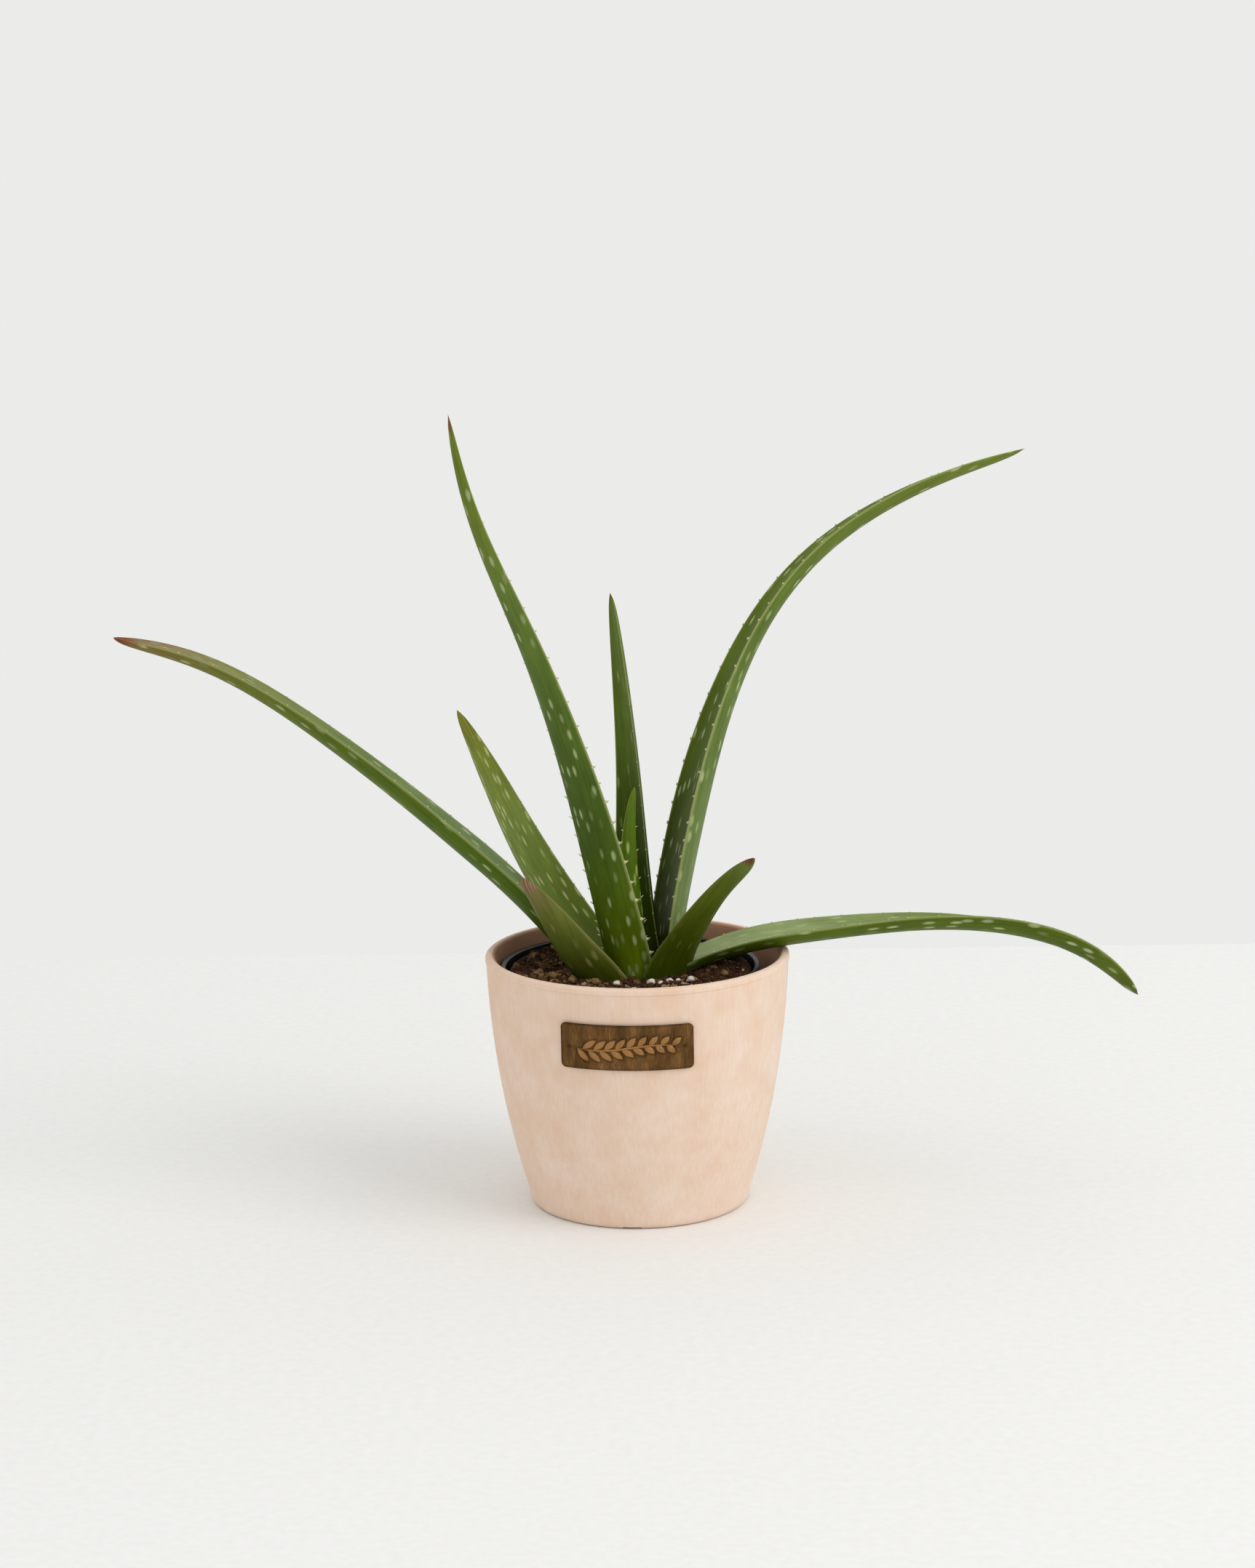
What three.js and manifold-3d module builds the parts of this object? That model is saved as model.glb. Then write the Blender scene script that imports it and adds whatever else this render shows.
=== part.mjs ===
// A young aloe in its black nursery pot, standing inside a matte composite cover pot
// with a small brass plate on its front. Millimetres, +Z up, origin at the middle of
// the cover pot's underside, front of the pot towards -Y.

import * as THREE from 'three';
import { mergeVertices } from 'three/addons/utils/BufferGeometryUtils.js';
import Module from 'manifold-3d';

const wasm = await Module();
wasm.setup();

// ---------------------------------------------------------------- driving dimensions

const fitGap = 0.3; // between pieces that touch

const potHeight = 108;
const potRimRadius = 64;
const potFootRadius = 44.5;
const potWall = 4;
const potFloor = 6;
const heelHeight = 5; // where the rounded heel ends and the wall begins
const heelRound = 2.8; // how far the heel stands out past the foot
const heelFullness = 0.8; // share of that reached at the table
const bellyHeight = 52; // where the lines along the wall's two ends cross
const bellyInset = 2; // that point lies this far inside the rim's radius
const innerCove = 4; // rounding between the inside wall and the floor
const lipBand = 3; // plain band under the lip
const lipStep = 0.35; // the band stands out by this much
const lipStepRise = 0.4;
const lipRound = 1; // height of the lip's rounded top
const potSides = 40;

const notchCount = 4;
const notchWidth = 8;
const notchHeight = 0.8;
const notchReach = 10;
const frontAngle = -94.5; // the front of the pot is turned a little to the left

const plateWidth = 53.5;
const plateHeight = 19.5;
const plateCorner = 2;
const plateThickness = 1;
const plateMiddle = 83; // height of its middle above the table
const padThickness = 0.5; // adhesive pad behind the plate
const padInset = 2;

const linerPlay = 5; // room between the cover pot and the nursery pot's rim
const linerShift = 3; // it stands this far off the middle, to the left
const linerDrop = 5.5; // nursery pot's rim below the cover pot's lip
const linerWall = 1;
const linerFloor = 1.2;
const linerTaper = 15; // how much narrower its base is than its collar
const linerRim = 1.2; // width of the rolled rim
const linerRimDepth = 1.6;
const linerCollar = 9; // depth of the collar under the rim
const linerCollarStep = 1.2;
const linerRound = 1; // rounding of its foot
const linerEdge = 0.4; // rounding of its rim and shoulder
const linerSides = 32;
const drainCount = 6;
const drainRadius = 4;

const soilDrop = 5.5; // soil below the nursery pot's rim
const soilDish = 4; // soil stands this much higher along the nursery pot's wall
const soilRound = 1; // rounding of its edges

const stemRadius = 8;
const stemLength = 26;
const stemShoulder = 6; // the stem narrows below this
const stemBelow = 1; // its top lies this far under the leaf bases
const stemEndShare = 0.4; // its lower end, as a share of its radius
const rootRadius = 1.8;
const rootCount = 5;
const rootRoom = 6; // between the farthest root end and the nursery pot's wall
const rootDepth = 52;
const rootStart = 12; // depth in the soil where the roots leave the stem
const rootShoulder = 20; // and where they turn down
const rootShort = 0.8; // every other root reaches this share of the depth

const leafSteps = 20;
const leafHalf = 6; // facets across each face of a leaf
const leafCrowding = 1.35; // how far the steps close up towards the tip
const outerFullness = 0.75; // below 1 makes the outer face rounder than a parabola
const tipStart = 20; // the higher, the later the tip starts to round off
const tipRoundness = 0.6;
const marginTuck = 0.7; // share of `grow` by which a margin moves off the outer face

// ------------------------------------------------------------------- leaf description

// Each leaf grows from `root`, in the soil around the middle of the crown. The lists
// give a value at evenly spaced places from base to tip, in degrees or mm: rise is the
// angle above level, heading the compass direction (0 is +X, 90 is +Y), sway a lean to
// the side, roll a twist about the leaf. bulge and channel are the depth of the rounded
// outer face and of the hollow inner face, as shares of the width. They stand in the
// order they grew, youngest first, and each clasps those before it.
const crownMiddle = [1, 11];
const leafDepth = 4; // leaf bases start this far down in the soil
const leaves = [
  {
    name: 'leaf_heart',
    root: [-2, 0],
    length: 85,
    rise: [87, 88, 90],
    heading: [300],
    sway: [-2, -5, 12],
    width: [12, 10.5, 8, 3.5],
    color: 0x55902a,
  },
  {
    name: 'leaf_upright',
    root: [1.5, 6],
    length: 165,
    rise: [84, 87, 90],
    heading: [62],
    sway: [13, 4, 6, 6],
    roll: [-18, -33],
    width: [24, 22, 17, 12, 7],
    color: 0x3f6b25,
  },
  {
    name: 'leaf_arching',
    root: [5, 3],
    length: 304,
    rise: [81, 75, 59, 28, 10],
    heading: [24, 12],
    roll: [-9, -9, -13],
    bulge: [0.36, 0.34, 0.36],
    width: [27, 31, 23, 17, 11],
    color: 0x4a7338,
  },
  {
    name: 'leaf_tall',
    root: [-2, -6],
    length: 278,
    rise: [69, 67, 62, 60, 79],
    heading: [238, 234, 222],
    width: [24, 21, 15, 10, 5],
    color: 0x4a7540,
  },
  {
    name: 'leaf_short_left',
    root: [-6, 6],
    length: 139,
    rise: [40, 50, 57, 53],
    heading: [150, 143],
    width: [27, 28, 24, 16, 7],
    color: 0x6c8c41,
  },
  {
    name: 'leaf_long_left',
    root: [-7, 1],
    length: 267,
    rise: [48, 42, 38, 30, 6],
    heading: [178, 175],
    roll: [0, 7, 1],
    width: [28, 29, 26, 19, 15],
    color: 0x55773c,
  },
  {
    name: 'leaf_low_right',
    root: [5, -2],
    length: 228,
    rise: [35, 10, 2, -18, -53],
    heading: [-6, -2, 6, 14],
    roll: [6, -1, -14, -21],
    width: [18, 24, 23, 19, 12],
    restsOnRim: true,
    color: 0x517338,
  },
  {
    name: 'leaf_short_right',
    root: [7, -5],
    length: 87,
    rise: [53, 49, 37],
    heading: [-50, -46],
    bulge: [0.24, 0.24, 0.3],
    width: [29, 23, 17, 14],
    color: 0x3d5c26,
  },
  {
    name: 'leaf_wilted',
    root: [-5, -6],
    length: 72,
    rise: [30, 53, 47],
    heading: [205, 210],
    roll: [17],
    bulge: [0.36, 0.36, 0.36],
    width: [27, 27, 18, 8],
    color: 0x4b5a2a,
  },
];

// Loose grains on the soil: size across, then direction from the pot's axis and distance
// from it as a share of the soil's radius.
const grains = [
  { kind: 'perlite', size: 4.2, angle: -75, reach: 0.42 },
  { kind: 'perlite', size: 2.6, angle: -64.5, reach: 0.44 },
  { kind: 'perlite', size: 3.8, angle: -56, reach: 0.465 },
  { kind: 'perlite', size: 2.8, angle: -48, reach: 0.5 },
  { kind: 'perlite', size: 3.6, angle: -39, reach: 0.56 },
  { kind: 'perlite', size: 3.4, angle: -112.5, reach: 0.45 },
  { kind: 'pumice', size: 4.4, angle: -131, reach: 0.53 },
  { kind: 'pumice', size: 3.6, angle: -146, reach: 0.65 },
  { kind: 'pumice', size: 4.8, angle: -158, reach: 0.75 },
  { kind: 'pumice', size: 3.4, angle: -168, reach: 0.85 },
  { kind: 'pumice', size: 4, angle: -22, reach: 0.77 },
  { kind: 'pumice', size: 3.8, angle: -120, reach: 0.81 },
];
const grainSwell = [0.82, 1.12]; // how far the corners of a grain move in or out
const grainSquash = 0.85; // height of a grain as a share of its size

// ---------------------------------------------------------------------- small helpers

const { degToRad, lerp } = THREE.MathUtils;
const flat = (x, y) => new THREE.Vector2(x, y);

// Value at t (0 to 1) on a smooth line through evenly spaced values.
function along(values, t) {
  const last = values.length - 1;
  if (last === 0) return values[0];
  const line = new THREE.SplineCurve(values.map((value, i) => flat(i / last, value)));
  return line.getPoint(t).y;
}

// A closed mesh as a manifold solid.
function solid(geometry) {
  const bare = geometry.clone();
  bare.deleteAttribute('normal');
  bare.deleteAttribute('uv');
  const merged = mergeVertices(bare);
  const index = [...merged.index.array];
  const kept = [];
  for (let i = 0; i < index.length; i += 3) {
    const [a, b, c] = index.slice(i, i + 3);
    if (a !== b && b !== c && c !== a) kept.push(a, b, c);
  }
  return new wasm.Manifold(new wasm.Mesh({
    numProp: 3,
    vertProperties: new Float32Array(merged.attributes.position.array),
    triVerts: new Uint32Array(kept),
  }));
}

// A manifold solid back as geometry.
function geometryOf(body) {
  const mesh = body.getMesh();
  const geometry = new THREE.BufferGeometry();
  geometry.setAttribute('position', new THREE.BufferAttribute(mesh.vertProperties, 3));
  geometry.setIndex(new THREE.BufferAttribute(mesh.triVerts, 1));
  geometry.computeVertexNormals();
  return geometry;
}

// The largest of the separate bodies in a cut solid.
function largest(body) {
  const bodies = body.decompose();
  return bodies.reduce((best, next) => (next.volume() > best.volume() ? next : best));
}

// A solid turned about Z from a closed outline of (radius, height) points.
function turned(outline, sides) {
  const geometry = new THREE.LatheGeometry(outline, sides);
  geometry.rotateX(Math.PI / 2);
  return solid(geometry);
}

const group = new THREE.Group();

function addPiece(name, body, color, roughness, metalness = 0) {
  const material = new THREE.MeshStandardMaterial({ color, roughness, metalness });
  const mesh = new THREE.Mesh(geometryOf(body), material);
  mesh.name = name;
  group.add(mesh);
}

// -------------------------------------------------------------------------- cover pot

// The outer wall swells from the heel to the rim in one easy curve.
const wallCurve = new THREE.QuadraticBezierCurve(
  flat(potFootRadius + heelRound, heelHeight),
  flat(potRimRadius - bellyInset, bellyHeight),
  flat(potRimRadius, potHeight - lipBand),
);
const wallPoints = wallCurve.getPoints(7);
const wallOffset = (offset) => wallPoints.map((p) => flat(p.x + offset, p.y));

const heelCorner = new THREE.QuadraticBezierCurve(
  flat(potFootRadius, 0),
  flat(potFootRadius + heelRound * heelFullness, 0),
  wallPoints[0],
).getPoints(3);

const lipCentre = potRimRadius + lipStep - potWall / 2;
const lipPoints = [0, 1, 2, 3, 4].map((i) => {
  const turn = (i / 4) * Math.PI;
  const height = potHeight - lipRound + lipRound * Math.sin(turn);
  return flat(lipCentre + (potWall / 2) * Math.cos(turn), height);
});

const innerWall = wallOffset(-potWall).filter((p) => p.y > potFloor + innerCove).reverse();
const floorEdge = innerWall[innerWall.length - 1];

let potBody = turned([
  flat(0, 0),
  ...heelCorner,
  ...wallPoints.slice(1),
  flat(potRimRadius + lipStep, potHeight - lipBand + lipStepRise),
  ...lipPoints,
  ...innerWall,
  flat(floorEdge.x - innerCove / 2, potFloor + innerCove / 4),
  flat(floorEdge.x - innerCove, potFloor),
  flat(0, potFloor),
], potSides);

// Shallow notches under the heel let water and air out.
for (let i = 0; i < notchCount; i += 1) {
  const notch = new THREE.BoxGeometry(notchReach * 2, notchWidth, notchHeight * 2);
  notch.translate(potFootRadius + heelRound, 0, 0);
  notch.rotateZ(degToRad(frontAngle + (i * 360) / notchCount));
  potBody = potBody.subtract(solid(notch));
}
addPiece('cover_pot', potBody, 0xe8c9b0, 0.8);

// ------------------------------------------------------------- brass plate and its pad

// A piece of shell that follows the pot's wall, trimmed to a rounded rectangle.
function wallPatch(inside, outside, width, height, corner) {
  const shell = turned([
    ...wallOffset(outside),
    ...wallOffset(inside).reverse(),
    wallOffset(outside)[0],
  ], potSides);
  const x = width / 2;
  const y = height / 2;
  const outline = new THREE.Shape();
  outline.absarc(x - corner, y - corner, corner, 0, Math.PI / 2);
  outline.absarc(corner - x, y - corner, corner, Math.PI / 2, Math.PI);
  outline.absarc(corner - x, corner - y, corner, Math.PI, Math.PI * 1.5);
  outline.absarc(x - corner, corner - y, corner, Math.PI * 1.5, Math.PI * 2);
  const block = new THREE.ExtrudeGeometry(outline, {
    depth: potRimRadius * 2,
    bevelEnabled: false,
    curveSegments: 4,
  });
  block.rotateX(Math.PI / 2);
  block.translate(0, 0, plateMiddle);
  block.rotateZ(degToRad(frontAngle + 90));
  return shell.intersect(solid(block));
}

const padBack = fitGap;
const plateBack = padBack + padThickness + fitGap;
const pad = wallPatch(
  padBack,
  padBack + padThickness,
  plateWidth - 2 * padInset,
  plateHeight - 2 * padInset,
  plateCorner,
);
const plate = wallPatch(
  plateBack,
  plateBack + plateThickness,
  plateWidth,
  plateHeight,
  plateCorner,
);
addPiece('plate_pad', pad, 0xd9d6cf, 0.9);
addPiece('brass_plate', plate, 0x7a6238, 0.4, 1);

// ------------------------------------------------------------------------ nursery pot

const linerBase = potFloor + fitGap;
const linerTop = potHeight - linerDrop;
const linerRimRadius = potRimRadius - potWall - linerPlay;
const collarRadius = linerRimRadius - linerRim;
const bodyRadius = collarRadius - linerCollarStep;
const floorRadius = floorEdge.x - innerCove;
const baseRadius = Math.min(bodyRadius - linerTaper, floorRadius - linerShift - fitGap);
const footTop = linerBase + 2 * linerRound;
const collarBottom = linerTop - linerCollar;

let linerBody = turned([
  flat(0, linerBase),
  flat(baseRadius - linerRound, linerBase),
  flat(baseRadius, footTop),
  flat(bodyRadius, collarBottom),
  flat(collarRadius, collarBottom + linerEdge),
  flat(collarRadius, linerTop - linerRimDepth),
  flat(linerRimRadius, linerTop - linerRimDepth),
  flat(linerRimRadius, linerTop - linerEdge),
  flat(linerRimRadius - linerEdge, linerTop),
  flat(collarRadius - linerWall, linerTop),
  flat(collarRadius - linerWall, collarBottom + linerCollarStep + linerEdge),
  flat(bodyRadius - linerWall, collarBottom - linerEdge),
  flat(baseRadius - linerWall, linerBase + linerFloor + linerRound),
  flat(baseRadius - linerWall - linerRound, linerBase + linerFloor),
  flat(0, linerBase + linerFloor),
], linerSides);
for (let i = 0; i < drainCount; i += 1) {
  const hole = new THREE.CylinderGeometry(drainRadius, drainRadius, linerFloor * 4, 12);
  hole.rotateX(Math.PI / 2);
  hole.translate(baseRadius - drainRadius * 2, 0, linerBase);
  hole.rotateZ(degToRad((i * 360) / drainCount));
  linerBody = linerBody.subtract(solid(hole));
}
linerBody = linerBody.translate([-linerShift, 0, 0]);
addPiece('nursery_pot', linerBody, 0x1b1c1f, 0.5);

// Radius of what fits inside it at a height below its collar.
const linerSlope = (bodyRadius - baseRadius) / (collarBottom - footTop);
const insideAt = (z) => baseRadius - linerWall - fitGap + (z - footTop) * linerSlope;

// ----------------------------------------------------------------------------- leaves

const soilLevel = linerTop - soilDrop;

// Outer and inner facet positions across a leaf, from margin to margin.
const across = Array.from({ length: leafHalf + 1 }, (_, i) => -Math.cos((Math.PI * i) / leafHalf));

// Directions at one place along a leaf: along it, out of its rounded face, and across.
function leafFrame(leaf, t) {
  const rise = degToRad(along(leaf.rise, t));
  const heading = degToRad(along(leaf.heading, t));
  const sway = degToRad(along(leaf.sway ?? [0], t));
  const roll = degToRad(along(leaf.roll ?? [0], t));
  const level = new THREE.Vector3(Math.cos(heading), Math.sin(heading), 0);
  const up = new THREE.Vector3(0, 0, 1);
  const straight = level.clone().multiplyScalar(Math.cos(rise)).addScaledVector(up, Math.sin(rise));
  const under = level.clone().multiplyScalar(Math.sin(rise)).addScaledVector(up, -Math.cos(rise));
  const side = new THREE.Vector3(-Math.sin(heading), Math.cos(heading), 0);
  const tangent = straight.clone().multiplyScalar(Math.cos(sway)).addScaledVector(side, Math.sin(sway));
  side.multiplyScalar(Math.cos(sway)).addScaledVector(straight, -Math.sin(sway));
  const outward = under.clone().multiplyScalar(Math.cos(roll)).addScaledVector(side, Math.sin(roll));
  side.multiplyScalar(Math.cos(roll)).addScaledVector(under, -Math.sin(roll));
  return { tangent, outward, side };
}

// A leaf as a closed loft; `grow` swells it all round, for the room its neighbours leave.
function leafBody(leaf, grow) {
  const bulge = leaf.bulge ?? [0.34, 0.3, 0.34];
  const channel = leaf.channel ?? [0.12, 0.14, 0.05];
  const [x, y] = leaf.root;
  const place = new THREE.Vector3(x + crownMiddle[0], y + crownMiddle[1], soilLevel - leafDepth);
  place.addScaledVector(leafFrame(leaf, 0).tangent, -grow);
  const points = [];
  let before = 0;
  for (let i = 0; i < leafSteps; i += 1) {
    const t = 1 - (1 - i / leafSteps) ** leafCrowding;
    const stride = leaf.length * (t - before);
    place.addScaledVector(leafFrame(leaf, (t + before) / 2).tangent, stride);
    before = t;
    const { outward, side } = leafFrame(leaf, t);
    const width = along(leaf.width, t) * (1 - t ** tipStart) ** tipRoundness;
    const outerDepth = along(bulge, t) * width;
    const innerDepth = along(channel, t) * width;
    const facet = (u, depth) => place.clone()
      .addScaledVector(side, u * (width / 2 + grow))
      .addScaledVector(outward, depth);
    const margin = (u) => facet(u * (1 + (2 * grow) / width), -marginTuck * grow);
    const between = across.slice(1, -1);
    const outer = between.map((u) => facet(u, outerDepth * (1 - u * u) ** outerFullness + grow));
    const inner = between.map((u) => facet(u, innerDepth * (1 - u * u) - grow)).reverse();
    points.push(margin(-1), ...outer, margin(1), ...inner);
  }
  place.addScaledVector(leafFrame(leaf, (1 + before) / 2).tangent, leaf.length * (1 - before) + grow);
  points.push(place.clone());

  const ring = 2 * leafHalf;
  const tip = points.length - 1;
  const index = [];
  for (let i = 0; i < leafSteps - 1; i += 1) {
    for (let j = 0; j < ring; j += 1) {
      const a = i * ring + j;
      const b = i * ring + ((j + 1) % ring);
      index.push(a, b, b + ring, a, b + ring, a + ring);
    }
  }
  for (let j = 0; j < ring; j += 1) {
    index.push((leafSteps - 1) * ring + j, (leafSteps - 1) * ring + ((j + 1) % ring), tip);
  }
  // The base is closed by strips from the outer face to the inner one.
  index.push(0, ring - 1, 1);
  for (let j = 1; j < leafHalf - 1; j += 1) {
    index.push(j, ring - j, j + 1, j + 1, ring - j, ring - j - 1);
  }
  index.push(leafHalf - 1, leafHalf + 1, leafHalf);

  const geometry = new THREE.BufferGeometry();
  geometry.setAttribute('position', new THREE.Float32BufferAttribute(points.flatMap((p) => [...p]), 3));
  geometry.setIndex(index);
  return solid(geometry);
}

// Height of a leaf's underside where it crosses the pot's lip.
function undersideAtLip(body) {
  const inside = potRimRadius - potWall;
  const outside = potRimRadius + lipStep;
  const band = turned([
    flat(inside, 0),
    flat(outside, 0),
    flat(outside, potHeight * 2),
    flat(inside, potHeight * 2),
    flat(inside, 0),
  ], potSides);
  return body.intersect(band).boundingBox().min[2];
}

const grownLeaves = [];
for (const leaf of leaves) {
  let body = leafBody(leaf, 0);
  let grown = leafBody(leaf, fitGap);
  if (leaf.restsOnRim) {
    const lift = [0, 0, potHeight + fitGap - undersideAtLip(body)];
    body = body.translate(lift);
    grown = grown.translate(lift);
  }
  for (const other of grownLeaves) body = body.subtract(other);
  grownLeaves.push(grown);
  addPiece(leaf.name, largest(body), leaf.color, 0.45);
}
const crown = wasm.Manifold.union(grownLeaves);

// ---------------------------------------------------------------------- stem and roots

// The short stem ends just under the leaf bases and carries a few thick roots.
const rootstockSides = 16;
const crownOffset = Math.hypot(crownMiddle[0] + linerShift, crownMiddle[1]);
const rootReach = insideAt(soilLevel - rootDepth) - crownOffset - rootRoom;
function rootstock(grow) {
  const top = soilLevel - leafDepth - stemBelow + grow;
  const bottom = top - stemLength - 2 * grow;
  let body = turned([
    flat(0, bottom),
    flat(stemRadius * stemEndShare + grow, bottom),
    flat(stemRadius + grow, top - stemShoulder),
    flat(stemRadius + grow, top),
    flat(0, top),
  ], rootstockSides);
  const section = new THREE.Shape().absarc(0, 0, rootRadius + grow, 0, Math.PI * 2);
  for (let i = 0; i < rootCount; i += 1) {
    const turn = (i / rootCount) * Math.PI * 2;
    const depth = rootDepth * (i % 2 ? rootShort : 1);
    // A point on the root's line: its share of the reach, and its depth in the soil.
    const at = (share, drop) => new THREE.Vector3(
      Math.cos(turn + share / 2) * rootReach * share,
      Math.sin(turn + share / 2) * rootReach * share,
      soilLevel - drop,
    );
    const path = new THREE.CatmullRomCurve3([
      at(0.1, rootStart),
      at(0.55, rootShoulder),
      at(0.85, lerp(rootShoulder, depth, 0.6)),
      at(1, depth + grow),
    ]);
    const root = new THREE.ExtrudeGeometry(section, {
      steps: 8,
      curveSegments: 4,
      bevelEnabled: false,
      extrudePath: path,
    });
    body = body.add(solid(root));
  }
  return body.translate([...crownMiddle, 0]);
}
const rootstockBody = largest(rootstock(0).subtract(crown));
addPiece('rootstock', rootstockBody, 0x9a7b52, 0.8);

// ------------------------------------------------------------------------------- soil

const soilBottom = linerBase + linerFloor + fitGap;
const soilEdge = Math.min(insideAt(soilLevel), bodyRadius - linerWall) - fitGap;
const soilWidest = collarBottom - soilRound;
const soilFootTop = soilBottom + 2 * soilRound;

const soilTop = (share) => soilLevel + soilDish * share ** 2;
const topPoints = [1, 0.8, 0.6, 0.4, 0.2, 0].map((share) => flat(
  (soilEdge - soilRound) * share,
  soilTop(share),
));
const soilBody = turned([
  flat(0, soilBottom),
  flat(baseRadius - linerWall - linerRound - fitGap * 2, soilBottom),
  flat(insideAt(soilFootTop) - fitGap, soilFootTop),
  flat(insideAt(soilWidest), soilWidest),
  flat(soilEdge, soilTop(1) - soilRound),
  ...topPoints,
], linerSides).translate([-linerShift, 0, 0]);
addPiece('soil', largest(soilBody.subtract(crown).subtract(rootstock(fitGap))), 0x33241a, 1);

// ----------------------------------------------------------------------- loose grains

// A repeatable scatter of numbers between 0 and 1.
let scatter = 7;
function chance() {
  scatter = (scatter * 16807) % 2147483647;
  return scatter / 2147483647;
}

const grainLooks = {
  perlite: { color: 0xe6e1d6, roughness: 0.9 },
  pumice: { color: 0x8a7256, roughness: 0.95 },
};
const counts = { perlite: 0, pumice: 0 };
for (const grain of grains) {
  const round = new THREE.DodecahedronGeometry(grain.size / 2);
  round.deleteAttribute('normal');
  round.deleteAttribute('uv');
  const pebble = mergeVertices(round);
  const corners = pebble.attributes.position;
  const corner = new THREE.Vector3();
  for (let i = 0; i < corners.count; i += 1) {
    corner.fromBufferAttribute(corners, i).multiplyScalar(lerp(...grainSwell, chance()));
    corners.setXYZ(i, corner.x, corner.y, corner.z * grainSquash);
  }
  pebble.rotateZ(chance() * Math.PI);
  const shape = solid(pebble);
  const turn = degToRad(grain.angle);
  const distance = grain.reach * soilEdge;
  const x = Math.cos(turn) * distance;
  const y = Math.sin(turn) * distance;
  const outermost = (Math.hypot(x + linerShift, y) + grain.size / 2) / soilEdge;
  const lift = soilTop(outermost) + fitGap - shape.boundingBox().min[2];
  const { color, roughness } = grainLooks[grain.kind];
  counts[grain.kind] += 1;
  addPiece(`${grain.kind}_${counts[grain.kind]}`, shape.translate([x, y, lift]), color, roughness);
}

export default group;
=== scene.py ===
# A young aloe in a black nursery pot, standing inside a peach cover pot that carries a
# small brass plate. Metres, +Z up, front towards -Y, the cover pot's foot on the floor.

import math
import random

import bmesh
import bpy
from mathutils import Matrix, Vector, kdtree, noise


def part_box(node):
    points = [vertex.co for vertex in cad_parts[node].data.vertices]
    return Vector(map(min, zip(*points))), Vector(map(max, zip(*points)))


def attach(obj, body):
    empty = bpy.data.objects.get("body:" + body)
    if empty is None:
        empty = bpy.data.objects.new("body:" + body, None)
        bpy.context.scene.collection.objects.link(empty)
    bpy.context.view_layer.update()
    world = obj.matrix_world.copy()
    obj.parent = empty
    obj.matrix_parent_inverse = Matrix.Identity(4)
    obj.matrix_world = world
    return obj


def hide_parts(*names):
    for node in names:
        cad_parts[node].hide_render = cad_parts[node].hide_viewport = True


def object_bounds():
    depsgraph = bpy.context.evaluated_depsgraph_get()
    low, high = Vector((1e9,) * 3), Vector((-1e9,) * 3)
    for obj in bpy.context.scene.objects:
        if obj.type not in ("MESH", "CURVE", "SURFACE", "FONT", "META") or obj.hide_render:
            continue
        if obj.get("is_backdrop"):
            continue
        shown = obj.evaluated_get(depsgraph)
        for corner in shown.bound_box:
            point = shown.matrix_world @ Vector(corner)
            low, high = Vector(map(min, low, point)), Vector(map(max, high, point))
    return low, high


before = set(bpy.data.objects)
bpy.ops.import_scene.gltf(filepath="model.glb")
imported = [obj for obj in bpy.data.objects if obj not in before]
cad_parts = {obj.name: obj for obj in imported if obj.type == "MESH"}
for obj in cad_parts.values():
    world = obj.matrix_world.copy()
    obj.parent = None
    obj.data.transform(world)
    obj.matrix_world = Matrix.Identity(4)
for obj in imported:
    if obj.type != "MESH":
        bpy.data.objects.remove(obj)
cad_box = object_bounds()

MM = 0.001


# ------------------------------------------------------------------------------- camera
# A short telephoto a metre and a half away, a little above the plant and looking slightly
# down on it, held a shade off level.

camera = bpy.data.objects.new("camera", bpy.data.cameras.new("camera"))
bpy.context.scene.collection.objects.link(camera)
camera.data.lens = 85
camera.data.sensor_width = 36
camera_pitch = math.radians(11.52)
camera_roll = math.radians(-0.75)
camera_yaw = math.radians(-0.12)
camera.matrix_world = (
    Matrix.Translation((0, -1.523, 0.4907))
    @ Matrix.Rotation(-camera_yaw, 4, "Z")
    @ Matrix.Rotation(math.pi / 2 - camera_pitch, 4, "X")
    @ Matrix.Rotation(camera_roll, 4, "Z")
)
bpy.context.scene.camera = camera


# ---------------------------------------------------------------------- floor and light
# A matte white board under the pot. It ends a little way behind it, so a faint line shows
# where the white background takes over. One large soft window light stands to the right.


def linear(code):
    """An sRGB hex colour as linear red, green, blue and full opacity."""
    shares = [int(code[i : i + 2], 16) / 255 for i in (1, 3, 5)]
    return [s / 12.92 if s <= 0.04045 else ((s + 0.055) / 1.055) ** 2.4 for s in shares] + [1]


def add_node(tree, kind, inputs=None, stops=None, **settings):
    """A node with its settings. An input takes a value or another node's output socket,
    and stops are the (place, colour or grey) pairs of a ramp."""
    node = tree.nodes.new(kind)
    for name, value in settings.items():
        setattr(node, name, value)
    for name, value in (inputs or {}).items():
        if isinstance(value, bpy.types.NodeSocket):
            tree.links.new(value, node.inputs[name])
        else:
            node.inputs[name].default_value = value
    if stops:
        ramp = node.color_ramp
        while len(ramp.elements) < len(stops):
            ramp.elements.new(1)
        for element, (place, colour) in zip(ramp.elements, stops):
            element.position = place
            element.color = linear(colour) if isinstance(colour, str) else [colour] * 3 + [1]
    return node


def new_material(name):
    """An empty material, its node tree and its surface shader."""
    material = bpy.data.materials.new(name)
    material.use_nodes = True
    return material, material.node_tree, material.node_tree.nodes["Principled BSDF"]


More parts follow.
